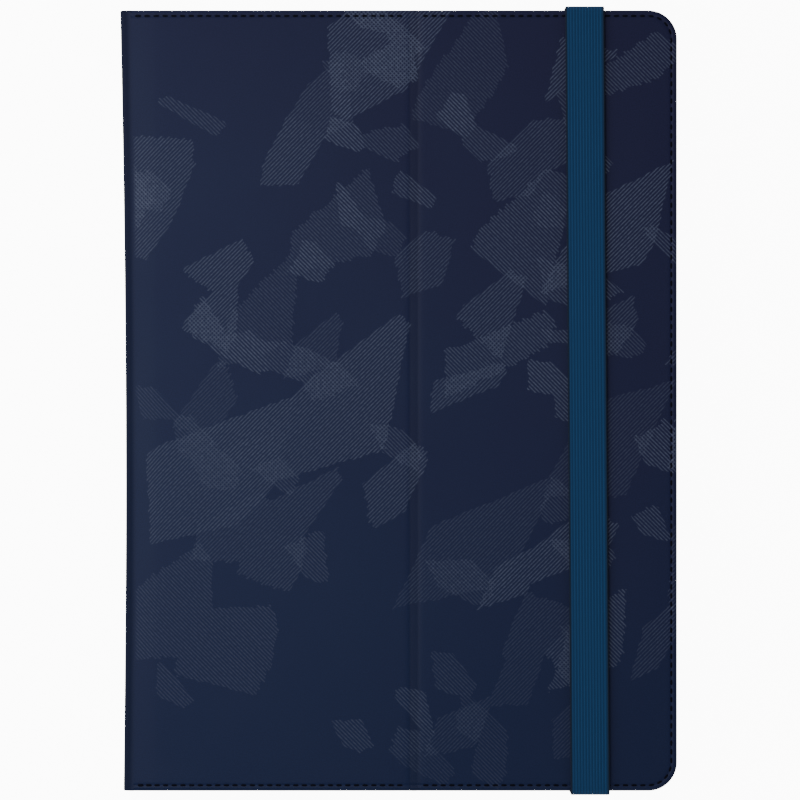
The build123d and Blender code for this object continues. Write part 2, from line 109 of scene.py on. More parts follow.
def shell(name, top, bottom, material, uv, angle=40):
    """A closed sheet between two matching grids of points, each rows by columns by 3."""
    rows, cols = top.shape[:2]
    count = rows * cols
    faces = []
    for j in range(rows - 1):
        for i in range(cols - 1):
            a = j * cols + i
            faces.append((a, a + 1, a + 1 + cols, a + cols))
            faces.append((count + a, count + a + cols, count + a + 1 + cols, count + a + 1))
    for i in range(cols - 1):
        a, b = i, i + 1
        faces.append((count + a, count + b, b, a))
        a, b = (rows - 1) * cols + i, (rows - 1) * cols + i + 1
        faces.append((a, b, count + b, count + a))
    for j in range(rows - 1):
        a, b = j * cols, (j + 1) * cols
        faces.append((a, b, count + b, count + a))
        a, b = a + cols - 1, b + cols - 1
        faces.append((count + a, count + b, b, a))
    verts = np.concatenate([top.reshape(-1, 3), bottom.reshape(-1, 3)])
    flat_uv = np.concatenate([uv.reshape(-1, 2), uv.reshape(-1, 2)])
    return make(name, verts, faces, material, flat_uv, angle)


def stack(levels):
    """Verts, faces and uv of rings stacked from the bottom up, closed at both ends."""
    count = len(levels[0])
    verts = [point for level in levels for point in level]
    faces = [tuple(reversed(range(count)))]
    for level in range(len(levels) - 1):
        for k in range(count):
            a, b = level * count + k, level * count + (k + 1) % count
            faces.append((a, b, b + count, a + count))
    faces.append(tuple(range((len(levels) - 1) * count, len(levels) * count)))
    return verts, faces, [(v[0], v[1]) for v in verts]


def join(name, pieces, material, angle=40):
    """One object from several (verts, faces, uv) lists."""
    verts, faces, uv = [], [], []
    for piece_verts, piece_faces, piece_uv in pieces:
        base = len(verts)
        verts.extend(piece_verts)
        uv.extend(piece_uv)
        faces.extend([tuple(base + k for k in face) for face in piece_faces])
    return make(name, verts, faces, material, uv, angle)


def roll(d, radius):
    """How far a turned edge of that radius has dropped, at distance d from its rim."""
    d = np.clip(d, 0, radius)
    return radius - np.sqrt(np.maximum(radius ** 2 - (radius - d) ** 2, 0))


def waist(x, y):
    """The spine's edge is drawn in along its middle, and stands out a little at its ends."""
    deepest, depth, stand_out, reach = -35, 2.0, 0.7, 16
    above = np.clip(1 - ((y - deepest) / 170) ** 2, 0, 1)
    below = 1 - 0.4 * np.clip((deepest - y) / 100, 0, 1) ** 1.5
    pull = depth * np.where(y > deepest, above, below) - stand_out
    return x + pull * (1 - smooth((x + FREE) / reach))


def fall(x, z):
    """The front is drawn down where it turns into the spine; nothing below that corner moves."""
    drop, reach = 0.55, 13
    amount = drop * (1 - smooth((x + FREE) / reach))
    return z - amount * np.clip((z - (THICK - HINGE)) / HINGE, 0, 1)


# Distances from a sewn edge with a grid line: close together on the turned edge, the seam and the
# lining's border. RIM is the width of the zone that they are fitted into.
RIM_STEPS = [0, 0.03, 0.1, 0.22, 0.4, 0.6, 0.85, 1.1, 1.3, 1.5, 1.7, 1.9, 2.1, 2.3, 2.5, 2.8, 3.3,
             4.0, 4.8, 5.6, 6.4, 6.9, 7.3, 8.0, 9.0, 10.0]
RIM = 12


def row_lines(half):
    """The y of each row of a panel's grid, from its lower edge to its upper one."""
    upper = list(np.linspace(0, half - RIM, 31)) + [half - d for d in reversed(RIM_STEPS)]
    return np.array([-y for y in reversed(upper[1:])] + upper)


def panel_grid(low, free, half, radius, extra=()):
    """Points of a panel whose free corners are round: x, y and the distance to the nearest sewn edge."""
    y = row_lines(half)
    fixed = set(np.round(np.linspace(low, free - RIM - 2, 46), 3)) | set(extra)
    fixed |= {low + step for step in (0.3, 0.8, 1.6, 2.6, 4.0, 6.0, 8.0)}
    fixed = np.array(sorted(fixed))
    over = np.clip(np.abs(y) - (half - radius), 0, radius)
    reach = free - radius + np.sqrt(np.maximum(radius ** 2 - over ** 2, 0))
    squeeze = (reach - (free - RIM)) / RIM
    rim = reach[:, None] - np.array(RIM_STEPS[::-1])[None, :] * squeeze[:, None]
    x = np.concatenate([np.repeat(fixed[None, :], len(y), 0), rim], axis=1)
    yy = np.repeat(y[:, None], x.shape[1], 1)
    d = np.minimum(half - np.abs(yy), free - x)
    past_x, past_y = x - (free - radius), np.abs(yy) - (half - radius)
    d = np.where((past_x > 0) & (past_y > 0), radius - np.hypot(past_x, past_y), d)
    return x, yy, np.maximum(d, 0)


def beside(middle, *steps):
    """Values at those distances on both sides of the middle."""
    return {middle + side * step for step in steps for side in (-1, 1)}


# ---------------------------------------------------------------- materials

class Nodes:
    """Short calls for building a node tree."""

    def __init__(self, tree):
        self.tree = tree

    def put(self, value, socket):
        if isinstance(value, bpy.types.NodeSocket):
            self.tree.links.new(value, socket)
        else:
            socket.default_value = value

    def math(self, kind, a, b=0.0, c=0.0, clamp=False):
        node = self.tree.nodes.new("ShaderNodeMath")
        node.operation = kind
        node.use_clamp = clamp
        for value, socket in zip((a, b, c), node.inputs):
            self.put(value, socket)
        return node.outputs[0]

    def vector(self, kind, a, b=(0, 0, 0)):
        node = self.tree.nodes.new("ShaderNodeVectorMath")
        node.operation = kind
        self.put(a, node.inputs[0])
        self.put(b, node.inputs[1])
        return node.outputs["Value"] if kind in ("DOT_PRODUCT", "DISTANCE") else node.outputs["Vector"]

    def scale(self, a, factor):
        node = self.tree.nodes.new("ShaderNodeVectorMath")
        node.operation = "SCALE"
        self.put(a, node.inputs[0])
        self.put(factor, node.inputs["Scale"])
        return node.outputs["Vector"]

    def split(self, vector, kind="ShaderNodeSeparateXYZ"):
        """The three parts of a vector, or of a colour."""
        node = self.tree.nodes.new(kind)
        self.put(vector, node.inputs[0])
        return node.outputs

    def combine(self, x, y):
        node = self.tree.nodes.new("ShaderNodeCombineXYZ")
        self.put(x, node.inputs["X"])
        self.put(y, node.inputs["Y"])
        return node.outputs[0]

    def uv_mm(self):
        """The surface's own flat coordinates, in millimetres."""
        node = self.tree.nodes.new("ShaderNodeUVMap")
        node.uv_map = "UVMap"
        centred = self.vector("SUBTRACT", node.outputs[0], (0.5, 0.5, 0.0))
        return self.scale(centred, UV_SPAN)

    def object_mm(self):
        node = self.tree.nodes.new("ShaderNodeTexCoord")
        return self.scale(node.outputs["Object"], 1 / MM)

    def noise(self, vector, scale, detail=2.0, rough=0.5, distort=0.0):
        node = self.tree.nodes.new("ShaderNodeTexNoise")
        self.put(vector, node.inputs["Vector"])
        node.inputs["Scale"].default_value = scale
        node.inputs["Detail"].default_value = detail
        node.inputs["Roughness"].default_value = rough
        node.inputs["Distortion"].default_value = distort
        return node.outputs[0]

    def white_noise(self, number):
        """A random value from 0 to 1 for each whole number."""
        node = self.tree.nodes.new("ShaderNodeTexWhiteNoise")
        node.noise_dimensions = "1D"
        self.put(number, node.inputs["W"])
        return node.outputs["Value"]

    def cells(self, vector, scale, random=1.0):
        """The nearest cell of a flat cell pattern: its Distance, Color and Position."""
        node = self.tree.nodes.new("ShaderNodeTexVoronoi")
        node.feature = "F1"
        node.voronoi_dimensions = "2D"
        self.put(vector, node.inputs["Vector"])
        node.inputs["Scale"].default_value = scale
        node.inputs["Randomness"].default_value = random
        return node.outputs

    def ramp(self, value, low, high, from_low=0.0, from_high=1.0):
        """low where value is from_low, high where it is from_high, and a soft step between."""
        node = self.tree.nodes.new("ShaderNodeMapRange")
        node.interpolation_type = "SMOOTHSTEP"
        for item, socket in zip((value, from_low, from_high, low, high), node.inputs):
            self.put(item, socket)
        return node.outputs[0]

    def mix(self, factor, a, b):
        node = self.tree.nodes.new("ShaderNodeMix")
        node.data_type = "RGBA"
        colour_a, colour_b, colour_out = node.inputs[6], node.inputs[7], node.outputs[2]
        self.put(factor, node.inputs[0])
        self.put(a, colour_a)
        self.put(b, colour_b)
        return colour_out

    def bump(self, height, strength, distance):
        """strength is a share, and distance is in millimetres."""
        node = self.tree.nodes.new("ShaderNodeBump")
        node.inputs["Strength"].default_value = strength
        node.inputs["Distance"].default_value = distance * MM
        self.put(height, node.inputs["Height"])
        return node.outputs[0]


def new_material(name):
    """An empty material, the helper that fills its node tree, and its shader."""
    material = bpy.data.materials.new(name)
    material.use_nodes = True
    tree = material.node_tree
    tree.nodes.clear()
    out = tree.nodes.new("ShaderNodeOutputMaterial")
    shader = tree.nodes.new("ShaderNodeBsdfPrincipled")
    tree.links.new(shader.outputs[0], out.inputs[0])
    return material, Nodes(tree), shader


def rgb(r, g, b):
    """A colour as a screen shows it, 0 to 255, turned to linear light."""
    shown = [v / 255 for v in (r, g, b)]
    linear = [v / 12.92 if v <= 0.04045 else ((v + 0.055) / 1.055) ** 2.4 for v in shown]
    return (*linear, 1.0)


def hatch(n, along, pitch):
    """Fine parallel ridges, 0 to 1, spaced pitch millimetres along that coordinate."""
    wave = n.math("SINE", n.math("MULTIPLY", along, 2 * math.pi / pitch))
    return n.ramp(wave, 0.0, 1.0, -0.35, 1.0)


# The hatched patches: a ridge's slope, its spacing and how unevenly the ridges end, in millimetres
SLOPE = math.sqrt(0.5)
RIDGE = 1.0
RAGGED = 1.5

# Where the pressed patches gather: centre x, centre y, reach, all in millimetres
GATHERINGS = [(-22, 112, 34), (46, 100, 40), (-84, 62, 16), (-8, 58, 26), (48, 28, 36), (-50, -4, 44),
              (6, -22, 18), (48, -56, 40), (84, -24, 24), (82, 62, 22), (24, -106, 34), (-36, -72, 20)]


def crowding(n, place):
    """How likely a patch is at that place, 0 to 1."""
    crowded, anywhere = 0.78, 0.07
    most = None
    for x, y, reach in GATHERINGS:
        away = n.vector("DISTANCE", place, (x, y, 0))
        here = n.ramp(away, crowded, 0.0, reach * 0.45, reach * 1.15)
        most = here if most is None else n.math("MAXIMUM", most, here)
    return n.math("ADD", most, anywhere)


def patch_layer(n, place, size, turn, stretch, shift, share, slant):
    """Angular patches cut from a cell pattern, some of them filled with slanting ridges.

    Cells are size millimetres wide and stretch times as long, turned by turn radians, and shift
    chooses another part of the pattern. share is how many of the patches are kept. slant is +1
    for ridges that rise to the right and -1 for ridges that fall. Each ridge ends a little
    before or after its neighbour.
    """
    across = n.vector("DOT_PRODUCT", place, (SLOPE, -slant * SLOPE, 0))
    number = n.math("FLOOR", n.math("ADD", n.math("DIVIDE", across, RIDGE), 0.25))
    chance = n.white_noise(n.math("ADD", number, shift))
    slip = n.math("MULTIPLY", n.math("SUBTRACT", chance, 0.5), RAGGED)
    moved = n.vector("ADD", place, n.scale((SLOPE, slant * SLOPE, 0), slip))

    cosine, sine = math.cos(turn), math.sin(turn)
    shift_u, shift_v = shift, shift * 1.7
    u = n.vector("DOT_PRODUCT", moved, (cosine / stretch, sine / stretch, 0))
    v = n.vector("DOT_PRODUCT", moved, (-sine, cosine, 0))
    cell = n.cells(n.combine(n.math("ADD", u, shift_u), n.math("ADD", v, shift_v)), 1 / size, 0.95)

    # The cell's own point, turned back to where it lies on the cover
    middle = n.split(cell["Position"])
    u = n.math("MULTIPLY", n.math("SUBTRACT", middle[0], shift_u), stretch)
    v = n.math("SUBTRACT", middle[1], shift_v)
    x = n.math("SUBTRACT", n.math("MULTIPLY", u, cosine), n.math("MULTIPLY", v, sine))
    y = n.math("ADD", n.math("MULTIPLY", u, sine), n.math("MULTIPLY", v, cosine))

    chance = n.split(cell["Color"], "ShaderNodeSeparateColor")
    kept = n.math("LESS_THAN", chance[0], n.math("MULTIPLY", crowding(n, n.combine(x, y)), share))
    vivid = n.math("MULTIPLY_ADD", chance[2], 0.6, 0.4)
    return n.math("MULTIPLY", n.math("MULTIPLY", kept, vivid), hatch(n, across, RIDGE))


def leather(name):
    """Navy imitation leather: a fine grain, with glossier hatched patches pressed into it."""
    material, n, shader = new_material(name)
    place = n.uv_mm()
    x, y = n.split(place)[:2]
    grain = n.cells(place, 1.35)["Distance"]
    weave = n.noise(place, 2.2, detail=3.0, rough=0.6)
    cloud = n.noise(place, 0.018)

    # Colour: warmer to the upper right, speckled by the weave, with painted shade in the crease and over
    # the spine's rounded skin
    slope = n.math("MULTIPLY_ADD", cloud, 160.0, n.math("ADD", x, y))
    colour = n.mix(n.ramp(slope, 0.0, 1.0, -60.0, 300.0), rgb(15, 29, 66), rgb(22, 24, 61))
    colour = n.scale(colour, n.ramp(weave, 0.86, 1.14, 0.3, 0.7))
    from_crease = n.math("ABSOLUTE", n.math("SUBTRACT", x, CREASE))
    # Painted shade: the colour is darkened along the line x = CREASE of the uv, where shade falls in the
    # crease; the base's back, which has no crease, gets the same darker line
    crease_shade = n.ramp(from_crease, 0.86, 1.0, 1.0, 2.6)
    # Painted shade: the skin past the spine's fold, over the spine's corners and panel, is darkened as it
    # turns from the light; the same mask also makes that skin rougher
    spine_fold_shade = n.ramp(x, 0.56, 1.0, START - 2.2, START + 0.8)
    colour = n.scale(colour, n.math("MULTIPLY", crease_shade, spine_fold_shade))

    # Patches: worn in spots, none beyond the spine's fold, and fainter to the lower left
    layers = [
        patch_layer(n, place, size=26, turn=0.8, stretch=1.9, shift=11.3, share=0.42, slant=1),
        patch_layer(n, place, size=20, turn=0.95, stretch=1.7, shift=63.7, share=0.4, slant=-1),
        patch_layer(n, place, size=13, turn=0.85, stretch=1.7, shift=42.9, share=0.38, slant=1),
        patch_layer(n, place, size=10, turn=-0.6, stretch=1.5, shift=77.1, share=0.34, slant=-1),
    ]
    ink = layers[0]
    for layer in layers[1:]:
        ink = n.math("ADD", ink, layer)
    worn = n.ramp(n.noise(place, 0.9, rough=0.6), 0.55, 1.15, 0.3, 0.7)
    ink = n.math("MULTIPLY", n.math("MINIMUM", ink, 1.0), worn)
    ink = n.math("MULTIPLY", ink, n.ramp(x, 0.0, 1.0, START - 0.4, START + 1.2))
    ink = n.math("MULTIPLY", ink, n.ramp(slope, 0.6, 1.15, -120.0, 180.0))
    colour = n.mix(n.math("MULTIPLY", ink, 0.7, clamp=True), colour, rgb(80, 88, 113))

    # Gloss and relief: a patch is glossier and higher, and the folded skin is rough
    dullness = n.math("ADD", n.ramp(cloud, 0.50, 0.58), n.ramp(spine_fold_shade, 0.3, 0.0, 0.5, 1.0))
    height = n.math("ADD", n.math("MULTIPLY", grain, 0.35), n.math("MULTIPLY", weave, 0.45))
    height = n.math("MULTIPLY_ADD", ink, 0.55, height)
    n.put(colour, shader.inputs["Base Color"])
    n.put(n.math("MULTIPLY_ADD", ink, -0.12, dullness), shader.inputs["Roughness"])
    n.put(n.bump(height, strength=0.5, distance=0.06), shader.inputs["Normal"])
    shader.inputs["Specular IOR Level"].default_value = 0.22
    return material


def suede(name, base, light):
    """Short-napped cloth, brushed lighter in broad sweeps."""
    material, n, shader = new_material(name)
    place = n.uv_mm()
    nap = n.noise(place, 3.5, detail=4.0, rough=0.7)
    sweep = n.noise(place, 0.03, distort=0.6)
    both = n.math("ADD", n.math("MULTIPLY", nap, 0.6), n.math("MULTIPLY", sweep, 0.4))
    n.put(n.mix(n.ramp(both, 0.0, 1.0, 0.3, 0.7), base, light), shader.inputs["Base Color"])
    n.put(n.ramp(nap, 0.85, 0.98), shader.inputs["Roughness"])
    n.put(n.bump(nap, strength=0.6, distance=0.12), shader.inputs["Normal"])
    shader.inputs["Sheen Weight"].default_value = 0.5
    shader.inputs["Sheen Roughness"].default_value = 0.45
    shader.inputs["Specular IOR Level"].default_value = 0.15
    return material


def knit(name):
    """Ribbed elastic: u runs across the band and v along it."""
    material, n, shader = new_material(name)
    place = n.uv_mm()
    u, v = n.split(place)[:2]
    rib = hatch(n, u, 1.02)
    pick = hatch(n, n.math("ADD", v, n.math("MULTIPLY", rib, 0.35)), 0.62)
    fuzz = n.noise(place, 5.0, detail=3.0, rough=0.7)
    height = n.math("ADD", n.math("MULTIPLY", rib, 0.7), n.math("MULTIPLY", pick, 0.3))
    height = n.math("ADD", height, n.math("MULTIPLY", fuzz, 0.25))
    # Painted shade: the outer millimetre along each edge of the band is darkened
    edge_shade = n.ramp(n.math("ABSOLUTE", u), 0.0, 1.0, 5.7, 6.6)
    # Painted shade: the blue is darker where the ribs and picks are low and lighter on their tops
    rib_shaded_blue = n.mix(n.ramp(height, 0.0, 1.0, 0.2, 1.1), rgb(8, 51, 89), rgb(15, 67, 112))
    n.put(n.mix(edge_shade, rib_shaded_blue, rgb(8, 24, 44)), shader.inputs["Base Color"])
    n.put(n.ramp(fuzz, 0.72, 0.9), shader.inputs["Roughness"])
    n.put(n.bump(height, strength=0.5, distance=0.12), shader.inputs["Normal"])
    shader.inputs["Sheen Weight"].default_value = 0.12
    shader.inputs["Sheen Roughness"].default_value = 0.4
    shader.inputs["Specular IOR Level"].default_value = 0.25
    return material


def grained(name, dark, light, rough, scale=2.0, bump=0.3, depth=0.04, metal=0.0, coat=0.0, gloss=0.5,
            streak=None):
    """Moulded plastic, rubber, metal or board: two tones, a fine texture and worn roughness.

    depth is the texture's, in millimetres. streak, a factor for each axis, stretches the texture
    along an axis whose factor is below 1.
    """
    material, n, shader = new_material(name)
    place = n.object_mm()
    if streak:
        place = n.vector("MULTIPLY", place, streak)
    fine = n.noise(place, scale, detail=3.0, rough=0.6)
    broad = n.noise(place, scale * 0.02)
    both = n.math("ADD", n.math("MULTIPLY", fine, 0.5), n.math("MULTIPLY", broad, 0.5))
    n.put(n.mix(n.ramp(both, 0.0, 1.0, 0.3, 0.7), dark, light), shader.inputs["Base Color"])
    n.put(n.ramp(both, rough - 0.06, rough + 0.06, 0.3, 0.7), shader.inputs["Roughness"])
    n.put(n.bump(fine, bump, depth), shader.inputs["Normal"])
    shader.inputs["Metallic"].default_value = metal
    shader.inputs["Specular IOR Level"].default_value = gloss
    shader.inputs["Coat Weight"].default_value = coat
    return material


cover_leather = leather("cover_leather_patterned")
lining = suede("lining_suede", rgb(38, 42, 52), rgb(62, 67, 80))
elastic = knit("elastic_knit")
thread = grained("thread", rgb(5, 6, 14), rgb(12, 14, 28), rough=0.8, scale=6.0, bump=0.5, depth=0.05,
                 gloss=0.1)
housing = grained("housing_plastic", rgb(34, 36, 41), rgb(44, 46, 52), rough=0.55, scale=3.0)
key_cap = grained("key_plastic", rgb(22, 23, 26), rgb(31, 32, 36), rough=0.48, scale=4.0)
touch = grained("touch_plastic", rgb(42, 44, 49), rgb(50, 52, 58), rough=0.36, scale=1.0, bump=0.04,
                depth=0.01, coat=0.2)
circuit = grained("circuit_board", rgb(16, 74, 48), rgb(24, 96, 62), rough=0.4, scale=1.0, bump=0.2,
                  coat=0.4)
black_circuit = grained("black_circuit_board", rgb(18, 20, 22), rgb(27, 30, 32), rough=0.5, scale=1.0,
                        bump=0.2)
silicone = grained("dome_silicone", rgb(170, 172, 170), rgb(196, 197, 194), rough=0.6, scale=1.5)
rubber = grained("pad_rubber", rgb(28, 29, 31), rgb(40, 41, 44), rough=0.85, scale=3.0, bump=0.5)
foil = grained("battery_foil", rgb(170, 172, 176), rgb(205, 206, 210), rough=0.35, scale=0.8, bump=0.5,
               depth=0.1, metal=1.0)
steel = grained("steel", rgb(150, 152, 156), rgb(190, 192, 196), rough=0.3, scale=6.0, depth=0.02,
                metal=1.0, streak=(0.1, 1.0, 1.0))
nickel = grained("magnet_nickel", rgb(176, 176, 178), rgb(204, 204, 206), rough=0.2, bump=0.15,
                 depth=0.02, metal=1.0)
lens = grained("lens", rgb(196, 206, 204), rgb(222, 228, 226), rough=0.25, bump=0.1, depth=0.02, coat=0.5)
stiff_board = grained("stiff_board", rgb(46, 45, 47), rgb(60, 59, 60), rough=0.9, scale=2.5, bump=0.6,
                      depth=0.08)
glue = grained("glue_film", rgb(196, 192, 176), rgb(212, 208, 194), rough=0.5, scale=1.0)
legend_ink = grained("legend_ink", rgb(176, 180, 186), rgb(206, 210, 214), rough=0.6, scale=4.0)

CAD_LOOKS = {
    stiff_board: ["base_board", "cover_board", "leg_board"],
    elastic: ["band_anchor_tabs"],
    housing: ["keyboard_bottom", "keyboard_top", "tray_shell", "tray_back_plate", "fixed_hooks",
              "jaw_slider", "jaw_hooks"],
    key_cap: ["power_switch", "pairing_button", "function_keys", "number_keys", "upper_letter_keys",
              "home_letter_keys", "lower_letter_keys", "modifier_keys", "space_bar"],
    touch: ["touchpad"],
    circuit: ["circuit_board", "controller_board"],
    black_circuit: ["control_board"],
    silicone: ["rubber_dome_sheet"],
    rubber: ["touchpad_foam", "screen_bumpers", "fixed_hook_pads", "jaw_hook_pads", "grip_strips",
             "jaw_tension_bands"],
    foil: ["battery_cell"],
    steel: ["charging_socket", "housing_screws"],
    nickel: ["tray_magnets", "leg_magnets"],
    lens: ["indicator_lenses"],
    glue: ["tray_bond"],
}
for look, names in CAD_LOOKS.items():
    for name in names:
        mesh = nodes[name].data
        if not mesh.materials:
            mesh.materials.append(look)
        for index in range(len(mesh.materials)):
            mesh.materials[index] = look


# ---------------------------------------------------------------- soft panels

def points(x, y, z):
    return np.stack([x, y, z], -1)


def stitch_dent(d):
    """How far the thread pulls the leather down, at distance d from the edge."""
    depth, width = 0.16, 0.42
    return depth * np.exp(-(((d - SEAM) / width) ** 2))


def groove(away):
    """How deep the crease is pressed into the front: a shallow dip with a sharper line each side."""
    lines = 0.05 * np.exp(-((away - 1.35) / 0.6) ** 2)
    dip = 0.13 * smooth(1 - away / 3.6)
    return lines + dip


def trough(away, depth):
    """The hollow along the crease on the inside, which thins the cover there."""
    return depth * smooth(1 - away / 2.3)


def let_in(d):
    """How deep a skin is recessed for its lining, at distance d from the edge."""
    return RECESS * smooth((d - BORDER) / 0.3)


def front_skin():
    near = beside(CREASE, 0, 0.4, 0.8, 1.1, 1.4, 1.7, 2.0, 2.4, 2.8, 3.4, 4.5, 6)
    x, y, d = panel_grid(START, FREE, HALF, CORNER, near)
    away = np.abs(x - CREASE)
    ripple = 0.05 * np.sin(x * 0.11 + 0.6) * np.sin(y * 0.047 + 1.1) * smooth((d - 3) / 8)
    top = fall(x, THICK - SLACK - roll(d, TURNED) - stitch_dent(d) - groove(away) + ripple)
    low = THICK - PANEL + roll(d, TURNED) + np.maximum(let_in(d), trough(away, 1.15))
    px = waist(x, y)
    return shell("front_cover_skin", points(px, y, top), points(px, y, low), cover_leather,
                 np.stack([x, y], -1))


def back_skin():
    """The base's skin. Its uv mirrors the front's and is set off, so that the patches differ."""
    x, y, d = panel_grid(START, FREE, HALF, CORNER)
    top = PANEL - roll(d, TURNED) - let_in(d)
    low = roll(d, TURNED) + stitch_dent(d)
    px = waist(x, y)
    return shell("back_cover_skin", points(px, y, top), points(px, y, low), cover_leather,
                 np.stack([-x + 9, y], -1))


def lining_sheet(name, z_low, extra=(), lift=0.0):
    """A lining inside a cover's border, lifted that much along the crease."""
    inset = BORDER + 0.25
    x, y, d = panel_grid(START + 0.2, FREE - inset, HALF - inset, 3.4, extra)
    raised = trough(np.abs(x - CREASE), lift)
    edge = roll(d, 0.16)
    px = waist(x, y)
    top, low = z_low + LINING - edge + raised, z_low + edge + raised
    return shell(name, points(px, y, top), points(px, y, low), lining, np.stack([x, y], -1))


def corner_skin(name, at_front):
    """The bare skin at one corner of the spine, a quarter turn from the cover to the spine."""
    y = row_lines(HALF)
    thinning = roll(np.minimum(HALF - np.abs(y), 5), 0.45)
    centre_z, first_angle, slack = (THICK - HINGE, 90, SLACK) if at_front else (HINGE, 270, 0.0)
    outer, inner, uv = [], [], []
    for angle in np.linspace(first_angle, 180, 13):
        t = math.radians(angle)
        radius = HINGE - thinning
        x, z = START + radius * math.cos(t), centre_z + radius * math.sin(t)
        outer.append(points(waist(x, y), y, fall(x, z - slack)))
        radius = HINGE - STRIP + thinning
        x, z = START + radius * math.cos(t), centre_z + radius * math.sin(t)
        inner.append(points(waist(x, y), y, z))
        turned = abs(t - math.radians(first_angle)) * HINGE
        uv.append(np.stack([np.full_like(y, START - turned), y], -1))
    for line in (outer, inner):
        line.append(line[-1].copy())
        line[-1][:, 2] = centre_z + (-STRAIGHT if at_front else STRAIGHT)
    uv.append(uv[-1] - np.array([STRAIGHT, 0]))
    outer, inner, uv = (np.stack(part[::-1], 1) for part in (outer, inner, uv))
    top, low = (outer, inner) if at_front else (inner, outer)
    return shell(name, top, low, cover_leather, uv)


def spine_panel():
    """The spine's skin over its board, and the lining on its inside."""
    low, high = HINGE + STRAIGHT, THICK - HINGE - STRAIGHT
    turned, recess, thickness = 1.1, 0.3, 0.32
    y, z = np.meshgrid(row_lines(HALF), np.linspace(low, high, 13), indexing="ij")
    edge = roll(HALF - np.abs(y), turned)
    press = 0.12 * smooth(1 - np.minimum(z - low, high - z) / 1.6)
    outer = points(waist(-FREE + edge + press, y), y, z)
    inner = points(waist(-FREE + PANEL - edge - recess, y), y, z)
    around = START - HINGE * math.pi / 2 - (THICK - HINGE - z)
    skin = shell("spine_panel_skin", outer, inner, cover_leather, np.stack([around, y], -1))
    y = y * (HALF - 1.6) / HALF
    face = points(waist(np.full_like(y, -FREE + PANEL), y), y, z)
    rear = points(waist(np.full_like(y, -FREE + PANEL - thickness), y), y, z)
    return skin, shell("spine_panel_lining", rear, face, lining, np.stack([z, y], -1))


near_crease = beside(CREASE, 0.3, 0.8, 1.3, 1.8, 2.3, 3, 4)
front = front_skin()
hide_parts("cover_skin", "leg_skin", "crease_strip")
front_lining = lining_sheet("front_cover_lining", THICK - PANEL, near_crease, lift=1.13)
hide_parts("cover_lining", "leg_lining")
for piece, slot in ((front, "cover_leather"), (front_lining, "lining_suede")):
    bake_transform(piece)

back = back_skin()
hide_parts("base_skin")
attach(back, "base")
base_lining = lining_sheet("base_panel_lining", PANEL - LINING)
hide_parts("base_lining")
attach(base_lining, "base")

spine_skin, spine_inside = spine_panel()
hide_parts("spine_skin", "spine_board")
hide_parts("spine_lining")
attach(spine_skin, "spine")
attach(spine_inside, "spine")

cover_corner = corner_skin("spine_corner_front", at_front=True)
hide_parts("cover_hinge_skin")
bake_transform(cover_corner)
base_corner = corner_skin("spine_corner_back", at_front=False)
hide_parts("base_hinge_skin")
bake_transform(base_corner)


# ---------------------------------------------------------------- stitching

def seam_path():
    """Points every 0.25 mm along the three sewn edges, from the spine's top round to its bottom."""
    step, first_x = 0.25, -91.5
    radius, top, right = CORNER - SEAM, HALF - SEAM, FREE - SEAM
    line = [(x, top) for x in np.arange(first_x, right - radius, step)]
    arc = [(right - radius + radius * math.sin(a), top - radius + radius * math.cos(a))
           for a in np.arange(0, math.pi / 2, step / radius)]
    side = [(right, y) for y in np.arange(top - radius, -(top - radius), -step)]
    lower = [(x, -y) for x, y in reversed(line + arc)]
    return np.array(line + arc + side + lower)


def stitch(centre, along, z, up):
    """One thread, rounded at its ends and sunk a little into the leather. up is +1 or -1."""
    long, wide, high, sunk = 2.05, 0.85, 0.26, 0.05
    across = np.array([-along[1], along[0]])
    levels = []
    for s in (-0.5, -0.42, -0.2, 0.0, 0.2, 0.42, 0.5):
        end = 2 * abs(s)
        size = math.sqrt(max(1 - end ** 4, 0.0)) * 0.92 + 0.08
        level = []
        for a in np.linspace(0, math.pi, 6):
            x, y = centre + along * s * long + across * math.cos(a) * wide / 2 * size
            rise = math.sin(a) * high * size * (1 - 0.6 * end ** 3) - sunk
            level.append((x, y, z + up * rise))
        levels.append(level)
    verts, faces, uv = stack(levels)
    return verts, faces if up < 0 else [face[::-1] for face in faces], uv


def stitches(z, up, low, high, shift=0.0):
    """Every stitch of one face whose middle lies between two x values."""
    path = seam_path()
    length = np.concatenate([[0], np.cumsum(np.hypot(*np.diff(path, axis=0).T))])

    def at(s):
        return np.array([np.interp(s, length, path[:, 0]), np.interp(s, length, path[:, 1])])

    found = []
    for s in np.arange(PITCH / 2 + shift, length[-1] - 1.2, PITCH):
        x, y = at(s)
        if low <= x <= high:
            ahead = at(s + 0.6) - at(s - 0.6)
            found.append(stitch(np.array([waist(x, y), y]), ahead / np.linalg.norm(ahead), z, up))
    return found


def sewn(name, body, outside, inside, low, high):
    """The threads of one panel's two faces, each given as its z and the way it faces."""
    threads = stitches(*outside, low, high) + stitches(*inside, low, high, shift=PITCH / 2)
    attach(join(name, threads, thread, 60), body)


FAR = 100    # an x beyond either edge
FRONT_SEAM, INNER_SEAM = (THICK - 0.2, 1), (THICK - PANEL, -1)
BACK_SEAM, BASE_SEAM = (0.16, -1), (PANEL, 1)
sewn("stitching_inner_cover", "cover", FRONT_SEAM, INNER_SEAM, -FAR, CREASE - 3)
sewn("stitching_leg", "leg", FRONT_SEAM, INNER_SEAM, CREASE + 3, FAR)
sewn("stitching_base", "base", BACK_SEAM, BASE_SEAM, -FAR, FAR)


# ---------------------------------------------------------------- elastic band

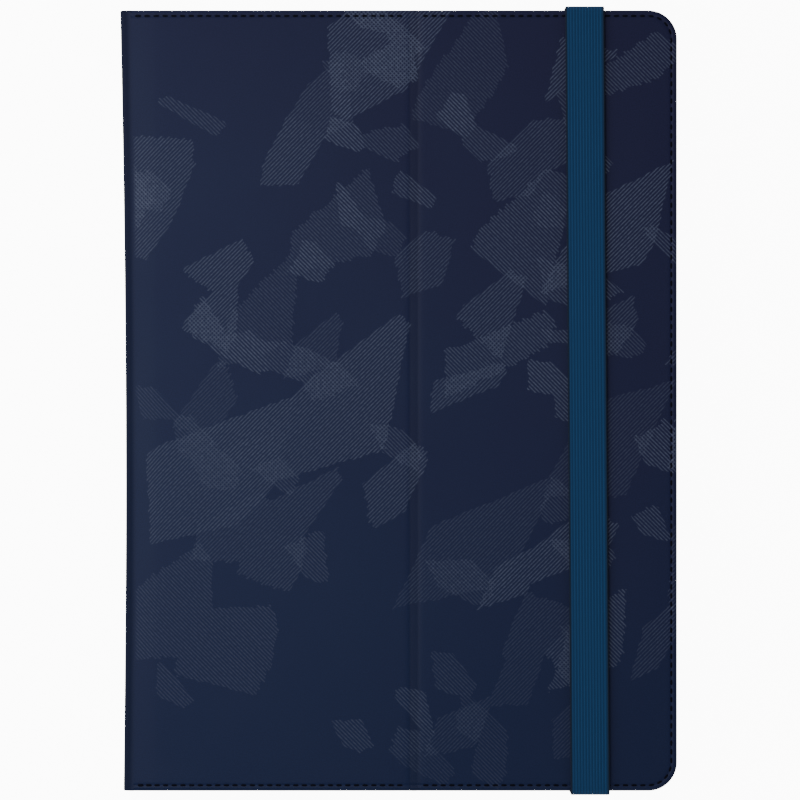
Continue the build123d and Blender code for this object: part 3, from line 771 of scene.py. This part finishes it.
def band():
    """A ribbed band over the front, turned down over both edges to its anchors in the base."""
    width, thick, ribs, bend = 13.5, 1.0, 13, 1.3
    z_mid, y_mid = THICK + 0.3 + thick / 2, HALF + 0.4 + thick / 2

    # The band's middle line: y, z, and the way that its outside faces there
    rise = [(-y_mid, z, -1.0, 0.0) for z in np.linspace(1.5, z_mid - bend, 9)]
    for a in np.linspace(0, math.pi / 2, 8)[1:-1]:
        out, up = math.cos(a), math.sin(a)
        rise.append((-y_mid + bend - bend * out, z_mid - bend + bend * up, -out, up))
    over = [(y, z_mid, 0.0, 1.0) for y in np.linspace(-y_mid + bend, y_mid - bend, 61)]
    path = rise + over + [(-y, z, -ny, nz) for y, z, ny, nz in reversed(rise)]

    across = np.linspace(-0.5, 0.5, ribs * 6 + 1)
    rib = 0.04 * (np.cos(across * ribs * 2 * math.pi + math.pi) - 1)
    half = thick / 2 + rib / 2 - roll((0.5 - np.abs(across)) * width, 0.38)
    outer, inner, uv = [], [], []
    run, last_y, last_z = 0.0, *path[0][:2]
    for y, z, ny, nz in path:
        run += math.hypot(y - last_y, z - last_z)
        last_y, last_z = y, z
        x = 65.0 - 0.0070 * np.clip(y, -HALF, HALF) + across * width
        outer.append(points(x, y + ny * half, z + nz * half))
        inner.append(points(x, y - ny * half, z - nz * half))
        uv.append(np.stack([across * width, np.full_like(x, run - 150)], -1))
    outer, inner, uv = (np.stack(part, 0) for part in (outer, inner, uv))
    return shell("closing_band", outer, inner, elastic, uv, 70)


strap = band()
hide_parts("elastic_band")
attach(strap, "band")
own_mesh(strap)


# ---------------------------------------------------------------- keyboard

def islands(node):
    """The low and high corners, in millimetres, of each separate solid of a CAD node, in Y order."""
    bm = bmesh.new()
    bm.from_mesh(nodes[node].data)
    bmesh.ops.remove_doubles(bm, verts=bm.verts, dist=1e-6)
    left, found = set(bm.verts), []
    while left:
        edge, group = [left.pop()], []
        while edge:
            vert = edge.pop()
            group.append(vert.co / MM)
            for link in vert.link_edges:
                other = link.other_vert(vert)
                if other in left:
                    left.remove(other)
                    edge.append(other)
        corners = np.array(group)
        found.append((corners.min(0), corners.max(0)))
    bm.free()
    return sorted(found, key=lambda box: (box[0][1], box[0][0]))


def ring(low, high, inset, radius, z):
    """A rounded rectangle inset from a box's outline."""
    steps = 5
    ring_points = []
    radius = max(radius - inset * 0.3, 0.3)
    for corner_x, corner_y, start in ((high[0], high[1], 0), (low[0], high[1], 90),
                                      (low[0], low[1], 180), (high[0], low[1], 270)):
        x = corner_x - math.copysign(inset + radius, corner_x - (low[0] + high[0]) / 2)
        y = corner_y - math.copysign(inset + radius, corner_y - (low[1] + high[1]) / 2)
        for k in range(steps):
            a = math.radians(start + 90 * k / (steps - 1))
            ring_points.append((x + radius * math.cos(a), y + radius * math.sin(a), z))
    return ring_points


def key_shape(low, high):
    """A cap with straight sides, a rounded rim and a dished top, as insets and heights."""
    top = high[2]
    profile = ((0.0, low[2]), (0.24, top - 0.75), (0.31, top - 0.35), (0.42, top - 0.14),
               (0.62, top - 0.03), (0.95, top), (1.5, top - 0.04), (2.4, top - 0.09), (3.3, top - 0.12))
    deepest = min(high[0] - low[0], high[1] - low[1]) / 2 - 0.8
    return stack([ring(low, high, inset, 1.2, z) for inset, z in profile if inset < deepest])


LEGENDS = {
    "function_keys": ["esc"] + [f"f{k}" for k in range(1, 13)] + ["del"],
    "number_keys": list("`1234567890-=") + ["bksp"],
    "upper_letter_keys": ["tab"] + list("QWERTYUIOP[]") + ["|"],
    "home_letter_keys": ["caps"] + list("ASDFGHJKL;'") + ["enter"],
    "lower_letter_keys": ["shift"] + list("ZXCVBNM,./^") + ["shift"],
    "modifier_keys": ["ctrl", "fn", "opt", "alt", "alt", "<", "v", ">"],
    "space_bar": [],
}


def legend(word, low, high):
    """A word laid flat on a key, read from the side of the space bar."""
    letter_size, word_size, thickness, sunk = 4.6, 2.7, 0.03, 0.02
    curve = bpy.data.curves.new("legend", "FONT")
    curve.body = word
    curve.size = (letter_size if len(word) == 1 else word_size) * MM
    curve.align_x = "CENTER"
    curve.align_y = "CENTER"
    curve.resolution_u = 3
    curve.extrude = thickness * MM
    obj = bpy.data.objects.new("legend", curve)
    bpy.context.scene.collection.objects.link(obj)
    bpy.context.view_layer.update()
    mesh = bpy.data.meshes.new_from_object(obj)
    flat = np.array([v.co for v in mesh.vertices]).reshape(-1, 3) / MM
    faces = [tuple(face.vertices) for face in mesh.polygons]
    bpy.data.objects.remove(obj)
    bpy.data.curves.remove(curve)
    bpy.data.meshes.remove(mesh)
    middle = (low + high) / 2
    verts = [(middle[0] - y, middle[1] + x, high[2] - sunk + z) for x, y, z in flat]
    return verts, faces, [(v[0], v[1]) for v in verts]


SHEET_LOW, SHEET_HIGH = (np.array(corner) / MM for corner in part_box("rubber_dome_sheet"))
BOARD_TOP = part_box("circuit_board")[1].z / MM
SHEET_TOP = BOARD_TOP + 0.2
DOME_TOP = SHEET_HIGH[2]


def dome(low, high):
    """A rubber dome under the key of that box, with straight walls under a flat head."""
    middle = (low + high) / 2
    reach = min(3.0, (high[0] - low[0]) / 2 - 1)
    turns = np.linspace(0, 2 * math.pi, 20, endpoint=False)
    levels = []
    for share, z in ((1.0, SHEET_TOP), (0.93, SHEET_TOP + 0.35), (0.72, SHEET_TOP + 1.1),
                     (0.66, DOME_TOP - 0.2), (0.55, DOME_TOP)):
        radius = reach * share
        levels.append([(middle[0] + radius * math.cos(a), middle[1] + radius * math.sin(a), z)
                       for a in turns])
    return stack(levels)


sheet_rings = [ring(SHEET_LOW, SHEET_HIGH, 0, 1.0, z) for z in (BOARD_TOP, SHEET_TOP)]
dome_base = join("dome_sheet_base", [stack(sheet_rings)], silicone)
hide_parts("rubber_dome_sheet")
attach(dome_base, "base")

for row, words in LEGENDS.items():
    boxes = islands(row)
    caps = join(row + "_caps", [key_shape(low, high) for low, high in boxes], key_cap, 30)
    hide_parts(row)
    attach(caps, row + "_row")
    if words:
        printed = [legend(word, *box) for word, box in zip(words, boxes)]
        marks = join(row + "_legends", printed, legend_ink)
        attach(marks, row + "_row")
    rubber_row = join(row + "_domes", [dome(low, high) for low, high in boxes], silicone, 30)
    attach(rubber_row, "base")
    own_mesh(rubber_row)


def foam_strip(low, high):
    """A strip of foam with slightly rounded edges."""
    profile = ((0.12, low[2]), (0, low[2] + 0.4), (0, high[2] - 0.4), (0.12, high[2] - 0.02))
    return stack([ring(low, high, inset, 0.6, z) for inset, z in profile])


foam_strips = [foam_strip(low, high) for low, high in islands("touchpad_foam")]
foam = join("touchpad_foam_strips", foam_strips, rubber)
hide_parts("touchpad_foam")
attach(foam, "base")
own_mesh(foam)


# ---------------------------------------------------------------- setting

def studio_floor():
    """A glowing white floor, whose own light reaches nothing but itself."""
    reach, z = 6.0, -0.0006
    mesh = bpy.data.meshes.new("studio_floor")
    mesh.from_pydata([(-reach, -reach, z), (reach, -reach, z), (reach, reach, z), (-reach, reach, z)], [],
                     [(0, 1, 2, 3)])
    material, n, shader = new_material("studio_floor")
    tone = n.noise(n.object_mm(), 0.002)
    n.put(n.mix(tone, (0.93, 0.93, 0.93, 1), (0.95, 0.95, 0.95, 1)), shader.inputs["Base Color"])
    shader.inputs["Roughness"].default_value = 0.9
    shader.inputs["Emission Color"].default_value = (1, 1, 1, 1)
    shader.inputs["Emission Strength"].default_value = 11.0
    mesh.materials.append(material)
    floor = bpy.data.objects.new("studio_floor", mesh)
    bpy.context.scene.collection.objects.link(floor)
    lit = bpy.data.collections.new("lit_by_floor")
    lit.objects.link(floor)
    floor.light_linking.receiver_collection = lit


def area_light(name, place, aim, size, power):
    """A rectangular light in metres and watts, which the camera itself doesn't see."""
    light = bpy.data.lights.new(name, "AREA")
    light.shape = "RECTANGLE"
    light.size, light.size_y = size
    light.energy = power
    obj = bpy.data.objects.new(name, light)
    obj.location = place
    obj.rotation_euler = (Vector(aim) - Vector(place)).to_track_quat("-Z", "Y").to_euler()
    obj.visible_camera = False
    bpy.context.scene.collection.objects.link(obj)


studio_floor()
world = bpy.data.worlds.new("studio")
world.use_nodes = True
background = world.node_tree.nodes["Background"]
background.inputs["Color"].default_value = (1, 1, 1, 1)
background.inputs["Strength"].default_value = 0.2
bpy.context.scene.world = world

area_light("key_light", place=(-0.40, 0.08, 0.44), aim=(-0.07, 0, 0), size=(0.35, 0.9), power=3.15)
area_light("front_light", place=(0.3, -1.2, 0.22), aim=(0, 0, 0.01), size=(1.0, 0.4), power=4)
area_light("back_light", place=(-0.3, 1.2, 0.22), aim=(0, 0, 0.01), size=(1.0, 0.4), power=4)
area_light("side_light", place=(1.25, 0.1, 0.22), aim=(0, 0, 0.01), size=(0.4, 1.0), power=3)

# The camera looks straight down from far off, and FRAME_HEIGHT millimetres fill its view
FRAME_HEIGHT = 276.6
DISTANCE = 2500.0
camera_data = bpy.data.cameras.new("photo_camera")
camera_data.sensor_width = 36
camera_data.lens = camera_data.sensor_width * DISTANCE / FRAME_HEIGHT
camera_data.clip_start = 0.05
camera_data.clip_end = 30
camera = bpy.data.objects.new("photo_camera", camera_data)
camera.location = (0.00018, 0.00021, (THICK + DISTANCE) * MM)
bpy.context.scene.collection.objects.link(camera)
bpy.context.scene.camera = camera
